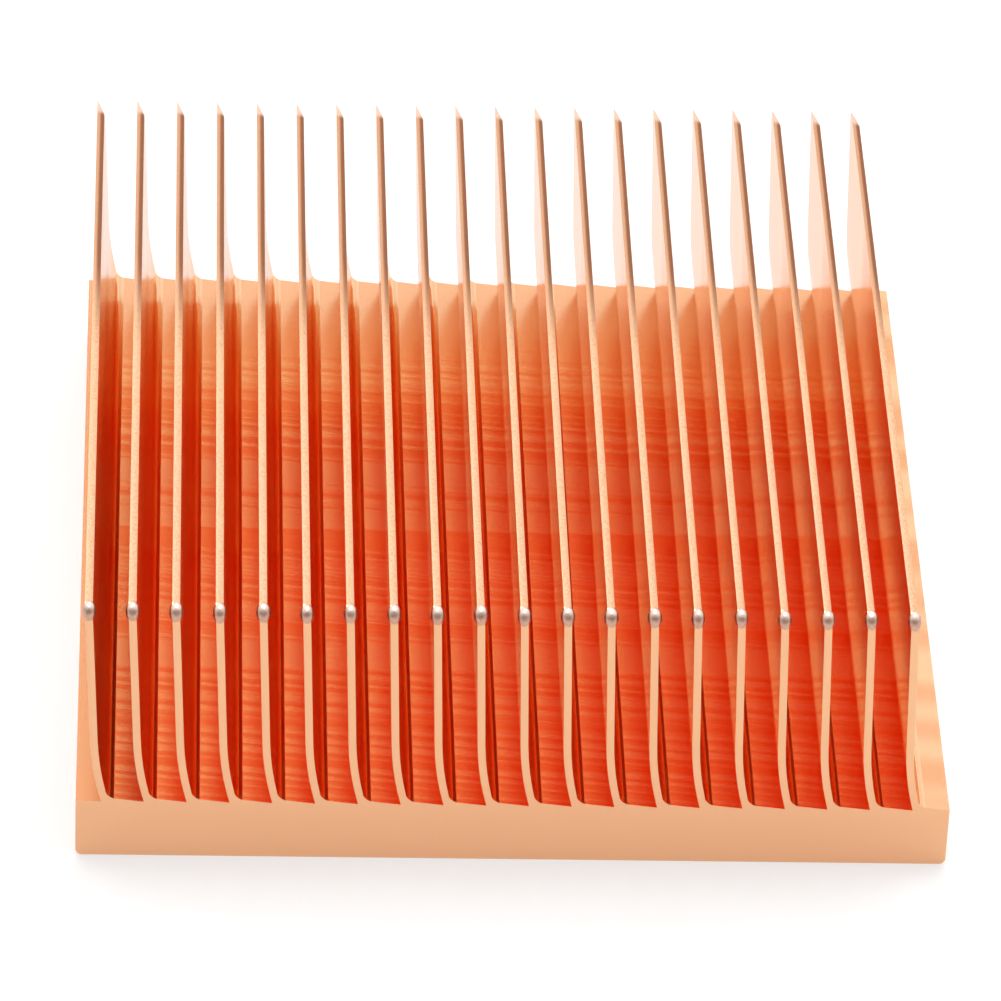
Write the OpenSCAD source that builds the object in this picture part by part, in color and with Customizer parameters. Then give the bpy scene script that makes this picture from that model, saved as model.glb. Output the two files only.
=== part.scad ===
// Skived fin heat sink: one copper block, its fins shaved up out of it.
// Millimetres. X runs across the fins, Y along them, Z up from the
// underside; the rounded fin noses with their beads are at -Y.

/* [Base] */

// Width across the fins; as many are cut as it has room for
base_width = 40; // [20:0.5:80]
// Length along the fins
base_length = 42; // [20:1:80]
// Height of the valley floor at its low side
base_thickness = 3.1; // [2.5:0.1:8]
// Rounding of the two long bottom edges
base_edge = 0.3; // [0.1:0.1:1]

/* [Fins] */

// Spacing from fin to fin
fin_pitch = 1.955; // [1.7:0.005:2.5]
// Thickness of a fin
fin_thickness = 0.35; // [0.25:0.01:0.45]
// Overall height, underside to fin tips
total_height = 14; // [12:0.5:30]
// Left edge of the base to the root corner of the first fin
first_root = 1.15; // [1:0.05:1.3]
// Least room from the root corner of the last fin to the right edge
last_room = 1.5; // [1.3:0.05:2]
// Lean of the straight part of a fin, degrees
fin_lean = 2.1; // [0:0.1:4]
// Height of the curved root of a fin
bend_height = 3.5; // [2.5:0.1:5]
// Radius of the curved root
bend_radius = 16; // [12:1:30]
// Fall of the top of a fin towards its right side
tip_depth = 0.12; // [0.06:0.01:0.3]
// Radius of that crowned top
tip_radius = 0.6; // [0.4:0.05:3]
// Length of the broken corner at the rear end of a top
corner_length = 1.1; // [0.5:0.1:2]
// Depth of that corner
corner_depth = 0.8; // [0.4:0.1:1.2]

/* [Valleys] */

// Fall of the valley floor towards the right, degrees
floor_fall = 7; // [4:0.5:9]
// Hollow between the right side of a fin and the floor
floor_radius = 0.6; // [0.4:0.05:0.7]

/* [Noses] */

// Rounding of the front top corner of a fin
nose_radius = 0.9; // [0.5:0.05:1.5]
// Width of the bead on each nose
bead_width = 0.6; // [0.5:0.01:0.8]
// Length of a bead along the rounded corner
bead_length = 0.75; // [0.5:0.05:0.8]
// How far a bead stands out from the rounded corner
bead_stand = 0.1; // [0.05:0.01:0.2]

/* [Hidden] */

$fn = 48;
bend_fn = 360;
arc_fn = 96;

// fins at the set spacing, as many as the base takes
fin_count = 1 + floor((base_width - first_root - last_room) / fin_pitch);

// depth to which a root and its hollow are carried down into the base
root_bite = 0.5;

// the curved root starts at the floor and runs up into the straight part
bend_top = base_thickness + bend_height;
bend_x = bend_radius * cos(fin_lean);
bend_z = bend_top + bend_radius * sin(fin_lean);
// root corner measured from the bend centre, then the centre from the root
root_run = sqrt(pow(bend_radius, 2) - pow(bend_z - base_thickness, 2));
top_shift = -tan(fin_lean) * (total_height - bend_top);

// the face of a fin is measured from its own root corner, x = 0
centre_x = root_run;
straight_x = centre_x - bend_x;
tip_x = straight_x + top_shift;

// hollow: a circle inside the right hand bend, resting on the floor line;
// it bites a little into both, so that it ends on an edge at each
hollow_bite = 0.01;
slope = tan(floor_fall);
// floor line through the next root corner: z = base_thickness + slope * (fin_pitch - x)
wall_x = centre_x + fin_thickness;
reach = bend_radius - floor_radius + hollow_bite;
line_c = base_thickness + slope * fin_pitch
         + (floor_radius - hollow_bite) / cos(floor_fall);
qa = 1 + pow(slope, 2);
qb = -2 * wall_x - 2 * slope * (line_c - bend_z);
qc = pow(wall_x, 2) + pow(line_c - bend_z, 2) - pow(reach, 2);
hollow_x = (-qb - sqrt(pow(qb, 2) - 4 * qa * qc)) / (2 * qa);
hollow_z = line_c - slope * hollow_x;
bite_reach = bend_radius + hollow_bite;
touch_wall = [wall_x + (hollow_x - wall_x) * bite_reach / reach,
              bend_z + (hollow_z - bend_z) * bite_reach / reach];
touch_floor = [hollow_x - floor_radius * sin(floor_fall),
               hollow_z - floor_radius * cos(floor_fall)];
// a line down the middle of the root, where one floor steps to the next,
// and the depth to which the hollow's metal laps under the fin
step_x = fin_thickness / 2;
hollow_lap = fin_thickness * 0.6;

// crowned top: chord from the left side down to the right side of the fin
chord = [fin_thickness + tan(fin_lean) * tip_depth, -tip_depth];
chord_length = norm(chord);
sag = sqrt(pow(tip_radius, 2) - pow(chord_length / 2, 2));
tip_centre = [tip_x, total_height] + chord / 2
             + [chord[1], -chord[0]] / chord_length * sag;

// the nose runs out on the front and the top at a slight angle
nose_bite = 0.03;
nose_inset = nose_radius - nose_bite;

// bead: half way round the corner between front and top, along the corner
bead_reach = nose_radius + bead_stand - bead_width / 2;
bead_inset = nose_inset - bead_reach * cos(45);

// broken corner: a flat cut that leaves a narrow edge at the left
corner_edge = 0.04;
corner_width = fin_thickness - corner_edge;
corner_tilt = [1 / corner_width, 1 / corner_length, 1 / corner_depth];

module bend_disc(x) {
    translate([x, bend_z])
        circle(r = bend_radius, $fn = bend_fn);
}

// curved root, carried a little way down into the base
module fin_root() {
    difference() {
        intersection() {
            bend_disc(centre_x);
            translate([-1, base_thickness - root_bite])
                square([3, bend_height + root_bite]);
        }
        bend_disc(wall_x);
    }
}

// straight part with its crowned top
module fin_blade() {
    difference() {
        polygon([
            [straight_x, bend_top],
            [straight_x + fin_thickness, bend_top],
            [tip_x + fin_thickness, total_height],
            [tip_x, total_height]
        ]);
        difference() {
            polygon([
                [tip_x, total_height],
                [tip_x, total_height + 1],
                [tip_x + 2, total_height + 1],
                [tip_x + 2, total_height - tip_depth],
                [tip_x, total_height] + chord
            ]);
            translate(tip_centre)
                circle(r = tip_radius, $fn = arc_fn);
        }
    }
}

// metal left in the hollow beside the root
module floor_hollow() {
    difference() {
        polygon([
            touch_wall,
            touch_floor,
            [touch_floor[0], base_thickness - root_bite],
            [step_x, base_thickness - root_bite],
            [step_x, base_thickness + slope * (fin_pitch - step_x)],
            [touch_wall[0] - hollow_lap, touch_wall[1]]
        ]);
        translate([hollow_x, hollow_z])
            circle(r = floor_radius, $fn = arc_fn);
    }
}

// block under the fins, its top cut in long shallow steps
module base_section() {
    last = first_root + (fin_count - 1) * fin_pitch;
    difference() {
        polygon(concat(
            [[0, 0], [base_width, 0],
             [base_width, base_thickness + slope * (fin_pitch - (base_width - last))]],
            [for (i = [fin_count - 1:-1:0], side = [1, 0])
                [first_root + i * fin_pitch + step_x,
                 side == 1 ? base_thickness + slope * (fin_pitch - step_x)
                           : base_thickness - (i == 0 ? 0 : slope * step_x)]],
            [[0, base_thickness]]
        ));
        for (s = [0, 1])
            translate([s * base_width, 0])
                mirror([s, 0])
                    difference() {
                        translate([-1, -1])
                            square([1 + base_edge, 1 + base_edge]);
                        translate([base_edge, base_edge])
                            circle(r = base_edge);
                    }
    }
}

module section() {
    base_section();
    for (i = [0:fin_count - 1])
        translate([first_root + i * fin_pitch, 0]) {
            fin_root();
            fin_blade();
            floor_hollow();
        }
}

// rounds the front top corner of every fin in one pass
module nose_cutter() {
    translate([-1, 0, 0])
        rotate([90, 0, 90])
            linear_extrude(height = base_width + 2)
                difference() {
                    translate([-1, total_height - nose_inset])
                        square([1 + nose_inset, nose_inset + 1]);
                    translate([nose_inset, total_height - nose_inset])
                        circle(r = nose_radius, $fn = arc_fn);
                }
}

// takes the right hand corner off the rear end of a top; the flat cut runs
// from the left edge down the rear end and forward along the right side
module corner_cutter() {
    translate([corner_edge + corner_width / 3, -corner_length / 3, -corner_depth / 3])
        rotate([0, acos(corner_tilt[2] / norm(corner_tilt)), atan2(corner_tilt[1], corner_tilt[0])])
            translate([-corner_length, -corner_length, 0])
                cube([2 * corner_length, 2 * corner_length, 2 * corner_width]);
}

// bead drawn upright, narrower at its lower end
module bead() {
    half = bead_length / 2;
    wide = bead_width / 2;
    rotate_extrude()
        polygon([[0, -half], [0.4 * wide, -half], [wide, -0.2 * half],
                 [wide, 0.3 * half], [0.5 * wide, half], [0, half]]);
}

module heat_sink() {
    color([0.85, 0.5, 0.32])
        translate([-base_width / 2, -base_length / 2, 0]) {
            difference() {
                translate([0, base_length, 0])
                    rotate([90, 0, 0])
                        linear_extrude(height = base_length)
                            section();
                nose_cutter();
                for (i = [0:fin_count - 1])
                    translate([first_root + i * fin_pitch + tip_x, base_length, total_height])
                        corner_cutter();
            }
            for (i = [0:fin_count - 1])
                translate([first_root + i * fin_pitch + tip_x + fin_thickness / 2
                           + tan(fin_lean) * bead_inset,
                           bead_inset, total_height - bead_inset])
                    rotate([-45, 0, 0])
                        bead();
        }
}

heat_sink();
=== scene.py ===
# Skived copper heat sink on a white table: twenty thin fins shaved up out of
# one block, each with a small burnished bead on its nose.
import math
import random

import bmesh
import bpy
from mathutils import Matrix, Vector


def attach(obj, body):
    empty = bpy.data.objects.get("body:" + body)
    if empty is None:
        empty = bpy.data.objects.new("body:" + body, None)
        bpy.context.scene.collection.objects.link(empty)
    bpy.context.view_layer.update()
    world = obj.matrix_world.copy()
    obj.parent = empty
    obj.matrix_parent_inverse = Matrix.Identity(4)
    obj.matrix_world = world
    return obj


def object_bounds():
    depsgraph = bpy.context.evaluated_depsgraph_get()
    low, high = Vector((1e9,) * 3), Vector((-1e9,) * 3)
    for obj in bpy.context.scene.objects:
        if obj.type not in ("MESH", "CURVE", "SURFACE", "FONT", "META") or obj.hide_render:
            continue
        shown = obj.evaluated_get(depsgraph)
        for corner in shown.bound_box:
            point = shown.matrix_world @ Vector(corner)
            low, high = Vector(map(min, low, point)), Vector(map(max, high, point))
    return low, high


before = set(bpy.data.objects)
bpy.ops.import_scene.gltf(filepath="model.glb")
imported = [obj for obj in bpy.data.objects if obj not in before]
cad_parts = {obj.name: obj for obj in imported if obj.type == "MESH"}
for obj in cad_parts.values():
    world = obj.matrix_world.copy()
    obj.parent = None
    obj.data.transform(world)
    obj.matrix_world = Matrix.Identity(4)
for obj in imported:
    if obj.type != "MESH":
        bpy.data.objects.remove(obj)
sinkLow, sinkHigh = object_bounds()
print("frame loaded", [round(v * 1000, 2) for v in (*sinkLow, *sinkHigh)])
scene = bpy.context.scene
mm = 0.001


class Wire:
    # wraps an output socket, so that sums and products of wires add Math nodes
    def __init__(self, tree, socket=None):
        self.tree = tree
        self.socket = socket

    def node(self, kind, settings, inputs, output=0):
        made = self.tree.nodes.new("ShaderNode" + kind)
        for name, value in settings.items():
            setattr(made, name, value)
        for name, value in inputs.items():
            if isinstance(value, Wire):
                self.tree.links.new(value.socket, made.inputs[name])
            else:
                made.inputs[name].default_value = value
        return Wire(self.tree, made.outputs[output]) if made.outputs else None

    def maths(self, operation, *values, clamp=False):
        return self.node("Math", {"operation": operation, "use_clamp": clamp},
                         dict(enumerate(values)))

    def __add__(self, other):
        return self.maths("ADD", self, other)

    def __radd__(self, other):
        return self.maths("ADD", other, self)

    def __sub__(self, other):
        return self.maths("SUBTRACT", self, other)

    def __rsub__(self, other):
        return self.maths("SUBTRACT", other, self)

    def __mul__(self, other):
        return self.maths("MULTIPLY", self, other)

    def __rmul__(self, other):
        return self.maths("MULTIPLY", other, self)

    def __abs__(self):
        return self.maths("ABSOLUTE", self)

    def clamp(self):
        return self.maths("ADD", self, 0.0, clamp=True)

    # 0 below low, 1 above high, smooth between
    def rise(self, low, high):
        return self.node("MapRange", {"interpolation_type": "SMOOTHSTEP"},
                         {"Value": self, "From Min": low, "From Max": high})

    # this wire is the factor, from one colour to the other
    def blend(self, first, second):
        return self.node("Mix", {"data_type": "RGBA"},
                         {"Factor": self, 6: first, 7: second}, 2)


def newMaterial(name):
    material = bpy.data.materials.new(name)
    material.use_nodes = True
    tree = material.node_tree
    tree.nodes.clear()
    return material, Wire(tree)


def finishMaterial(pen, shader):
    pen.node("OutputMaterial", {}, {"Surface": shader})


# a place or a direction as its three parts
def takeApart(pen, vector):
    return [pen.node("SeparateXYZ", {}, {0: vector}, axis) for axis in "XYZ"]


copper = {
    "knifePale": (0.97, 0.64, 0.36, 1.0),       # bands on the knife-cut faces
    "knifeRed": (0.96, 0.40, 0.16, 1.0),
    "rearColour": (0.83, 0.43, 0.24, 1.0),
    "edgeColour": (0.80, 0.40, 0.21, 1.0),      # the two bare edges
    "edgePale": (0.93, 0.53, 0.31, 1.0),
    "rootPaintedLightColour": (0.98, 0.62, 0.38, 1.0),      # painted light: paler colour in the hollow right of each fin, against its dark shading
    "grazingColour": (0.96, 0.78, 0.63, 1.0),
    "endDark": (0.92, 0.52, 0.30, 1.0),         # the block's end
    "endPale": (0.95, 0.57, 0.33, 1.0),         # the fins' ends
    "tipPale": (0.98, 0.60, 0.38, 1.0),
    "tipDull": (0.88, 0.47, 0.27, 1.0),
    # painted shade on the tops, darker to the rear and on their right hand side
    "tipShadeBrown": (0.32, 0.13, 0.07, 1.0),
    "tipPink": (0.78, 0.56, 0.44, 1.0),
    # how far a face points a way where each look begins and is full
    "sideFacing": (0.4, 0.85),
    "rootFacing": (0.13, 0.2),
    "endFacing": (0.55, 0.85),
    "tipFacing": (0.35, 0.6),
    "underFacing": (0.3, 0.7),
    "tipShadeFacing": (0.0, 0.4),
    # where each look begins and is full, mm
    "rearFrom": (12.0, 19.0),
    "calmFrom": (9.0, 16.0),                    # knife marks fade out
    "edgeFrom": (18.6, 18.9),                   # to either side
    "edgeSplit": (-1.0, 1.0),                   # marks on the right hand edge only
    "rootUpTo": (3.5, 4.3),
    "underUpTo": (0.3, 1.0),
    "tipFrom": (12.6, 12.9),
    "tipShadeFrom": (-2.0, 9.0),
    "pinkFrom": (19.5, 19.9),
    "sawnPaleFrom": (2.0, 5.0),
    "broadScale": 0.35,                         # knife marks per mm
    "fineScale": 2.0,
    "fineRoughness": 0.65,
    "broadShare": 0.45,
    "slant": 0.006,
    "chatterMean": 0.48,
    "bandDepth": 0.006,                         # mm
    "edgeCalm": 0.6,                            # shares of the marks that are lost
    "rearCalm": 0.85,
    "grainScale": 10.0,
    # from one colour to the other, along the noise
    "bandSplit": (0.42, 0.60),
    "bareSplit": (0.35, 0.65),
    "wornSplit": (0.35, 0.6),
    # how much of a colour shows
    "rootPaintedLightShare": 0.8,
    "sawnPaleShare": 0.75,
    "sawnGrainShare": 0.3,
    "tipShadeShare": 0.1,
    "brownGrainShare": 0.3,
    "tipSideShadeShare": 0.9,
    "sideRoughness": 0.14,
    "floorRoughness": 0.27,
    "endRoughness": 0.55,
    "tipRoughness": 0.34,
}


def copperMaterial():
    material, pen = newMaterial("skived copper")
    place = pen.node("TexCoord", {}, {}, "Object")
    facing = pen.node("TexCoord", {}, {}, "Normal")
    inMm = pen.node("VectorMath", {"operation": "SCALE"}, {0: place, "Scale": 1000.0})
    x, y, z = takeApart(pen, inMm)
    faceX, faceY, faceZ = takeApart(pen, facing)
    side = abs(faceX).rise(*copper["sideFacing"])
    root = faceX.rise(*copper["rootFacing"]) * (1.0 - z.rise(*copper["rootUpTo"]))
    edge = abs(x).rise(*copper["edgeFrom"])
    endFace = abs(faceY).rise(*copper["endFacing"])
    tip = faceZ.rise(*copper["tipFacing"]) * z.rise(*copper["tipFrom"])
    under = (0.0 - faceZ).rise(*copper["underFacing"]) * (1.0 - z.rise(*copper["underUpTo"]))

    # knife chatter: bands at right angles to the fins, alike in every channel
    along = y + x * copper["slant"]
    broad = pen.node("TexNoise", {"noise_dimensions": "1D"},
                     {"W": along, "Scale": copper["broadScale"], "Detail": 0.0})
    fine = pen.node("TexNoise", {"noise_dimensions": "1D"},
                    {"W": along, "Scale": copper["fineScale"], "Detail": 1.0,
                     "Roughness": copper["fineRoughness"]})
    chatter = broad * copper["broadShare"] + fine * (1.0 - copper["broadShare"])
    # fainter on the two bare edges and towards the rear, none underneath
    calm = (edge * copper["edgeCalm"] + y.rise(*copper["calmFrom"]) * copper["rearCalm"]
            + under).clamp()
    bands = 0.5 + (chatter - copper["chatterMean"]) * (1.0 - calm)
    grain = pen.node("TexNoise", {}, {"Vector": inMm, "Scale": copper["grainScale"],
                                      "Detail": 0.0})

    knife = bands.rise(*copper["bandSplit"]).blend(copper["knifeRed"], copper["knifePale"])
    knife = y.rise(*copper["rearFrom"]).blend(knife, copper["rearColour"])
    bare = (broad.rise(*copper["bareSplit"]) * x.rise(*copper["edgeSplit"])).blend(
        copper["edgeColour"], copper["edgePale"])
    knife = edge.blend(knife, bare)
    knife = under.blend(knife, copper["endDark"])
    # painted light: the hollow right of each fin is made paler, against its dark shading
    knife = (root * copper["rootPaintedLightShare"]).blend(knife, copper["rootPaintedLightColour"])
    sawn = (z.rise(*copper["sawnPaleFrom"]) * copper["sawnPaleShare"]
            + grain * copper["sawnGrainShare"]).blend(copper["endDark"], copper["endPale"])
    # painted shade: the tops are browner to the rear and on their right hand side, with
    # random mottling of tone as well
    tipShadeAndTone = y.rise(*copper["tipShadeFrom"]) * (
        copper["tipShadeShare"] + grain * copper["brownGrainShare"]
        + faceX.rise(*copper["tipShadeFacing"]) * copper["tipSideShadeShare"])
    topToneAndShade = grain.rise(*copper["wornSplit"]).blend(copper["tipDull"], copper["tipPale"])
    topToneAndShade = tipShadeAndTone.clamp().blend(topToneAndShade, copper["tipShadeBrown"])
    topToneAndShade = y.rise(*copper["pinkFrom"]).blend(topToneAndShade, copper["tipPink"])
    colour = endFace.blend(knife, sawn)
    colour = tip.blend(colour, topToneAndShade)
    plain = 1.0 - (endFace + tip).clamp()
    bump = pen.node("Bump", {}, {"Height": chatter, "Distance": copper["bandDepth"] * mm,
                                 "Strength": 1.0})
    knifed = side * copper["sideRoughness"] + (1.0 - side) * copper["floorRoughness"]
    rough = (plain * knifed + endFace * copper["endRoughness"]
             + tip * (1.0 - endFace) * copper["tipRoughness"])
    shader = pen.node("BsdfPrincipled", {}, {
        "Base Color": colour, "Metallic": 1.0, "Roughness": rough,
        "Specular Tint": copper["grazingColour"], "Normal": bump})
    finishMaterial(pen, shader)
    return material


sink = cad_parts["heat_sink"]
sink.data.materials.clear()
sink.data.materials.append(copperMaterial())
print("copper on the block and fins")


beads = {
    "count": 20,
    # mm
    "firstX": -19.452,          # middle of the first nose
    "pitch": 1.955,
    "noseRadius": 0.87,
    "sitAt": 0.70,              # from the centre of the nose rounding
    "halfWidth": 0.31,
    "halfLength": 0.58,
    "halfHeight": 0.325,
    "shift": 0.05,              # along the nose
    "bend": 0.85,               # radius that a bead's length is bent round
    "mottleDepth": 0.03,
    "middle": 45,               # degrees up from the front
    "unevenness": 0.08,
    "taper": 0.30,
    "taperPower": 1.5,
    "segments": 20,
    "rings": 14,
    "seed": 11,
    "mottleScale": 3.0,         # per mm
    "mottleSplit": (0.5, 0.72),
    "mottleShare": 0.3,
    "shadeFadeFacing": (0.55, 0.9),
    "shadeBelowShare": 0.9,
    "colour": (0.95, 0.72, 0.62, 1.0),
    # painted shade on the bead's lower side, also used for its random mottling
    "mottleAndShadeColour": (0.56, 0.33, 0.24, 1.0),
    "roughness": 0.24,
    "mottleAndShadeRoughness": 0.1,
}


def beadMaterial():
    material, pen = newMaterial("burnished bead")
    place = pen.node("TexCoord", {}, {}, "Object")
    inMm = pen.node("VectorMath", {"operation": "SCALE"}, {0: place, "Scale": 1000.0})
    mottle = pen.node("TexNoise", {}, {"Vector": inMm, "Scale": beads["mottleScale"],
                                       "Detail": 3.0})
    up = takeApart(pen, pen.node("TexCoord", {}, {}, "Normal"))[2]
    # painted shade: darker and duller below the shine on the top, where the bead faces down,
    # with some random mottling as well
    beadMottleAndShade = (mottle.rise(*beads["mottleSplit"]) * beads["mottleShare"]
             + (1.0 - up.rise(*beads["shadeFadeFacing"])) * beads["shadeBelowShare"]).clamp()
    colour = beadMottleAndShade.blend(beads["colour"], beads["mottleAndShadeColour"])
    bump = pen.node("Bump", {}, {"Height": mottle, "Distance": beads["mottleDepth"] * mm,
                                 "Strength": 1.0})
    rough = beads["roughness"] + beadMottleAndShade * beads["mottleAndShadeRoughness"]
    shader = pen.node("BsdfPrincipled", {}, {
        "Base Color": colour, "Metallic": 1.0, "Roughness": rough, "Normal": bump})
    finishMaterial(pen, shader)
    return material


def makeBeads():
    chance = random.Random(beads["seed"])
    noseY = sinkLow.y / mm + beads["noseRadius"]
    noseZ = sinkHigh.z / mm - beads["noseRadius"]
    form = bmesh.new()
    for number in range(beads["count"]):
        made = bmesh.ops.create_uvsphere(form, u_segments=beads["segments"],
                                         v_segments=beads["rings"], radius=1.0)
        wide, long, high = (1 + chance.uniform(0, 1) * beads["unevenness"] for _ in range(3))
        shift = chance.uniform(-beads["shift"], beads["shift"])
        for vert in made["verts"]:
            across, outwards, upwards = vert.co
            # narrower towards the lower end, where it runs out on the front
            taper = 1.0 - beads["taper"] * max(0.0, -upwards) ** beads["taperPower"]
            angle = math.radians(beads["middle"]) + (
                upwards * beads["halfLength"] * long + shift) / beads["bend"]
            reach = beads["sitAt"] + outwards * beads["halfHeight"] * high * taper
            vert.co = Vector((
                beads["firstX"] + number * beads["pitch"]
                + across * beads["halfWidth"] * wide * taper,
                noseY - math.cos(angle) * reach,
                noseZ + math.sin(angle) * reach)) * mm
    bmesh.ops.recalc_face_normals(form, faces=form.faces)
    mesh = bpy.data.meshes.new("noseBeads")
    form.to_mesh(mesh)
    form.free()
    mesh.shade_smooth()
    piece = bpy.data.objects.new("noseBeads", mesh)
    scene.collection.objects.link(piece)
    mesh.materials.append(beadMaterial())
    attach(piece, "root")
    return piece


makeBeads()
print("beads on the noses")


studio = {
    "floorSize": 1.2,           # m
    "floorSink": 0.02,          # mm, so that it doesn't meet the underside
    "floorColour": (0.5, 0.5, 0.5, 1.0),
    "floorGlow": 0.56,
    "dimming": 0.55,            # how much darker the room is behind the camera
    "dimBack": (0.0, 0.5),
    "dimUp": (0.05, 0.4),
    "behind": 0.18,
    "behindBack": (0.0, 0.35),
    "behindUp": (0.2, 0.45),
    "overhead": 5.0,
    "overheadAim": (0.34, 0.94),    # to the back and up
    "overheadSpot": (0.95, 0.975),
    "mirrorBounces": 14,        # the red of the channels comes from these
    "noiseLimit": 0.05,
}


def floorMaterial():
    material, pen = newMaterial("white table")
    ray = pen.node("LightPath", {}, {}, "Is Camera Ray")
    glossy = pen.node("LightPath", {}, {}, "Is Glossy Ray")
    through = pen.node("LightPath", {}, {}, "Is Transmission Ray")
    seen = (ray + glossy + through).clamp()
    matt = pen.node("BsdfDiffuse", {}, {"Color": studio["floorColour"]})
    glow = pen.node("Emission", {}, {"Color": (1, 1, 1, 1),
                                     "Strength": seen * studio["floorGlow"]})
    finishMaterial(pen, pen.node("AddShader", {}, {0: matt, 1: glow}))
    return material


floorMesh = bpy.data.meshes.new("table")
floorForm = bmesh.new()
bmesh.ops.create_grid(floorForm, x_segments=1, y_segments=1, size=studio["floorSize"] / 2)
bmesh.ops.translate(floorForm, verts=floorForm.verts, vec=(0, 0, -studio["floorSink"] * mm))
floorForm.to_mesh(floorMesh)
floorForm.free()
table = bpy.data.objects.new("table", floorMesh)
scene.collection.objects.link(table)
floorMesh.materials.append(floorMaterial())

world = bpy.data.worlds.new("white room")
scene.world = world
world.use_nodes = True
world.node_tree.nodes.clear()
room = Wire(world.node_tree)
cameraRay = room.node("LightPath", {}, {}, "Is Camera Ray")
# directions: the end of the room behind the camera is dimmer than the rest
towardsBack, upwards = takeApart(room, room.node("TexCoord", {}, {}, "Generated"))[1:]
dimEnd = (0.0 - towardsBack).rise(*studio["dimBack"]) * upwards.rise(*studio["dimUp"])
level = 1.0 - studio["dimming"] * dimEnd
# a wide soft light at the back and above, which the channels and the tips face,
# and a small bright one overhead, a little to the back
behind = (towardsBack.rise(*studio["behindBack"]) * upwards.rise(*studio["behindUp"])
          * studio["behind"])
aimBack, aimUp = studio["overheadAim"]
overhead = (towardsBack * aimBack + upwards * aimUp).rise(
    *studio["overheadSpot"]) * studio["overhead"]
lit = level + behind + overhead
strength = cameraRay + (1.0 - cameraRay) * lit
backdrop = room.node("Background", {}, {"Color": (1, 1, 1, 1), "Strength": strength})
world.cycles.sampling_method = "NONE"
scene.cycles.max_bounces = studio["mirrorBounces"]
scene.cycles.glossy_bounces = studio["mirrorBounces"]
scene.cycles.diffuse_bounces = 1
scene.cycles.adaptive_threshold = studio["noiseLimit"]
room.node("OutputWorld", {}, {"Surface": backdrop})

cameraSetup = {
    "place": (-0.01664, -0.29716, 0.22116),
    "yaw": 3.19,
    "down": 35.98,
    "roll": 2.64,
    "lens": 276.96,
    "sensor": 36.0,
    "clip": (0.01, 10.0),
}

cameraData = bpy.data.cameras.new("camera")
cameraData.lens = cameraSetup["lens"]
cameraData.sensor_width = cameraSetup["sensor"]
cameraData.clip_start, cameraData.clip_end = cameraSetup["clip"]
camera = bpy.data.objects.new("camera", cameraData)
scene.collection.objects.link(camera)
turn = (Matrix.Rotation(math.radians(-cameraSetup["yaw"]), 4, "Z")
        @ Matrix.Rotation(math.radians(90 - cameraSetup["down"]), 4, "X")
        @ Matrix.Rotation(math.radians(cameraSetup["roll"]), 4, "Z"))
camera.matrix_world = Matrix.Translation(cameraSetup["place"]) @ turn
scene.camera = camera
scene.view_settings.view_transform = "Standard"
